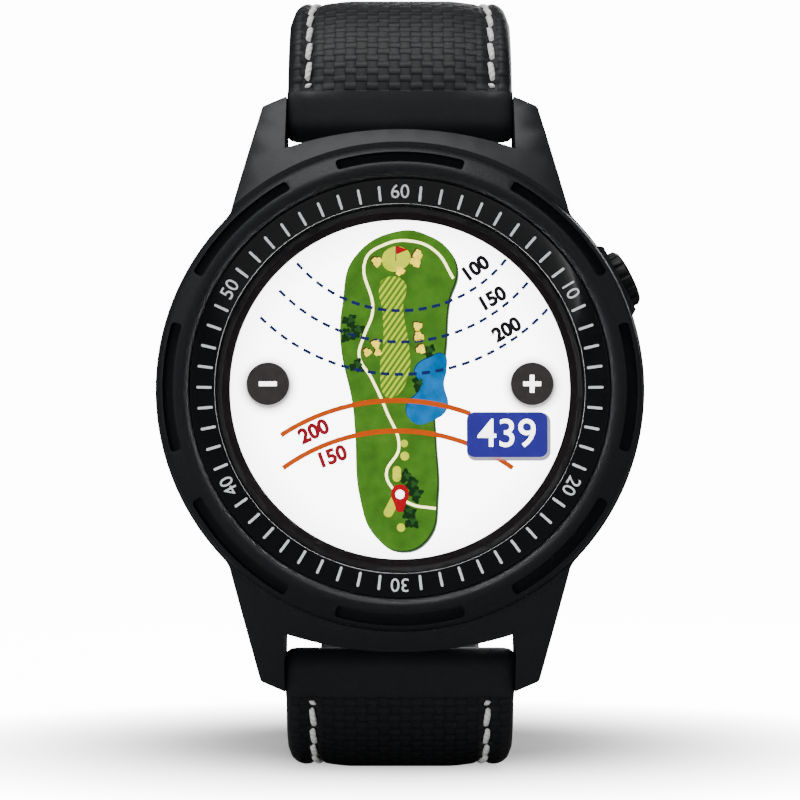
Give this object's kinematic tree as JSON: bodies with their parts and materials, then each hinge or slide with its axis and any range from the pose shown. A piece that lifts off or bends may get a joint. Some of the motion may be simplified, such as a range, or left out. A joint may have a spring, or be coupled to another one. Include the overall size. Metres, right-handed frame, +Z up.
{
  "type": "golf gps watch",
  "caption": "Round wrist-worn golf GPS watch with slotted bezel, colour touch screen, side push button and padded stitched strap with pin buckle.",
  "frame": {"origin": "centre of the flat patch of the lower strap that the watch stands on", "axes": "+Z up towards twelve o'clock, -Y the way the screen faces, +X towards three o'clock"},
  "size_m": [0.0466, 0.0869, 0.0785],
  "materials": {
    "case_plastic": "fine-grained black, satin",
    "bezel_plastic": "fine-grained black, matt",
    "ring_plastic": "glossy black",
    "cover_glass": "clear, polished",
    "display": "lit screen face",
    "black_plastic": "moulded black",
    "circuit_board": "green solder mask",
    "flex_film": "amber polyimide film",
    "battery_foil": "foil pouch",
    "steel": "bright",
    "black_steel": "black coated, brushed",
    "gold": "gold plated",
    "seal_rubber": "soft black",
    "strap_leather": "woven emboss, black",
    "strap_lining": "smooth black",
    "strap_padding": "felt",
    "thread": "white twisted thread"
  },
  "bodies": {
    "head": {"mid_case": "case_plastic", "bezel": "bezel_plastic", "tick_ring": "ring_plastic", "cover_glass": "cover_glass", "glass_gasket": "seal_rubber", "touch_sensor": "cover_glass", "display_panel": "display", "display_frame": "black_plastic", "display_flex": "flex_film", "main_board": "circuit_board", "shield_can": "steel", "board_chips": "black_plastic", "gps_antenna": "flex_film", "battery": "battery_foil", "battery_lead": "seal_rubber", "battery_connector": "black_plastic", "vibration_motor": "steel", "button_switch": "black_plastic", "button_tube": "steel", "button_spring": "steel", "back_cover": "case_plastic", "back_gasket": "seal_rubber", "back_screws": "steel", "charge_contacts": "gold", "charge_flex": "flex_film"},
    "button": {"button_cap": "case_plastic", "button_stem": "steel", "button_o_ring": "seal_rubber", "button_clip": "steel"},
    "upper_strap": {"upper_strap_outer": "strap_leather", "upper_strap_padding": "strap_padding", "upper_strap_lining": "strap_lining", "upper_stitching": "thread", "upper_bar_tube": "steel", "upper_bar_spring": "steel", "fixed_keeper": "strap_leather"},
    "upper_tip_left": {"upper_bar_tip_left": "steel"},
    "upper_tip_right": {"upper_bar_tip_right": "steel"},
    "free_loop": {"free_keeper": "strap_leather"},
    "buckle": {"buckle_frame": "black_steel", "buckle_bar": "steel"},
    "tang": {"buckle_tang": "black_steel"},
    "lower_strap": {"lower_strap_outer": "strap_leather", "lower_strap_padding": "strap_padding", "lower_strap_lining": "strap_lining", "lower_stitching": "thread", "lower_bar_tube": "steel", "lower_bar_spring": "steel"},
    "lower_tip_left": {"lower_bar_tip_left": "steel"},
    "lower_tip_right": {"lower_bar_tip_right": "steel"}
  },
  "joints": [
    {"name": "button_press", "type": "slide", "parent": "head", "child": "button", "axis": [-0.891, 0, -0.454], "range_m": [0, 0.0006], "stiffness_N_per_m": 1500, "springref_m": -0.0004, "deforming": ["button_spring"]},
    {"name": "upper_strap_swing", "type": "hinge", "parent": "head", "child": "upper_strap", "pos_m": [0, -0.02245, 0.0635], "axis": [1, 0, 0], "range_deg": [-12, 60]},
    {"name": "lower_strap_swing", "type": "hinge", "parent": "head", "child": "lower_strap", "pos_m": [0, -0.02245, 0.0105], "axis": [-1, 0, 0], "range_deg": [-12, 60]},
    {"name": "upper_left_tip_retract", "type": "slide", "parent": "upper_strap", "child": "upper_tip_left", "axis": [1, 0, 0], "range_m": [0, 0.0012], "stiffness_N_per_m": 800, "springref_m": -0.0005, "deforming": ["upper_bar_spring"]},
    {"name": "upper_right_tip_retract", "type": "slide", "parent": "upper_strap", "child": "upper_tip_right", "axis": [-1, 0, 0], "range_m": [0, 0.0012], "stiffness_N_per_m": 800, "springref_m": -0.0005, "deforming": ["upper_bar_spring"]},
    {"name": "lower_left_tip_retract", "type": "slide", "parent": "lower_strap", "child": "lower_tip_left", "axis": [1, 0, 0], "range_m": [0, 0.0012], "stiffness_N_per_m": 800, "springref_m": -0.0005, "deforming": ["lower_bar_spring"]},
    {"name": "lower_right_tip_retract", "type": "slide", "parent": "lower_strap", "child": "lower_tip_right", "axis": [-1, 0, 0], "range_m": [0, 0.0012], "stiffness_N_per_m": 800, "springref_m": -0.0005, "deforming": ["lower_bar_spring"]},
    {"name": "free_keeper_slide", "type": "slide", "parent": "upper_strap", "child": "free_loop", "axis": [0, 0, 1], "range_m": [-0.0035, 0.0045]},
    {"name": "buckle_swing", "type": "hinge", "parent": "upper_strap", "child": "buckle", "pos_m": [0, 0.0074, 0.032], "axis": [1, 0, 0], "range_deg": [-20, 20]},
    {"name": "tang_lift", "type": "hinge", "parent": "buckle", "child": "tang", "pos_m": [0, 0.0074, 0.032], "axis": [1, 0, 0], "range_deg": [0, 75]}
  ]
}
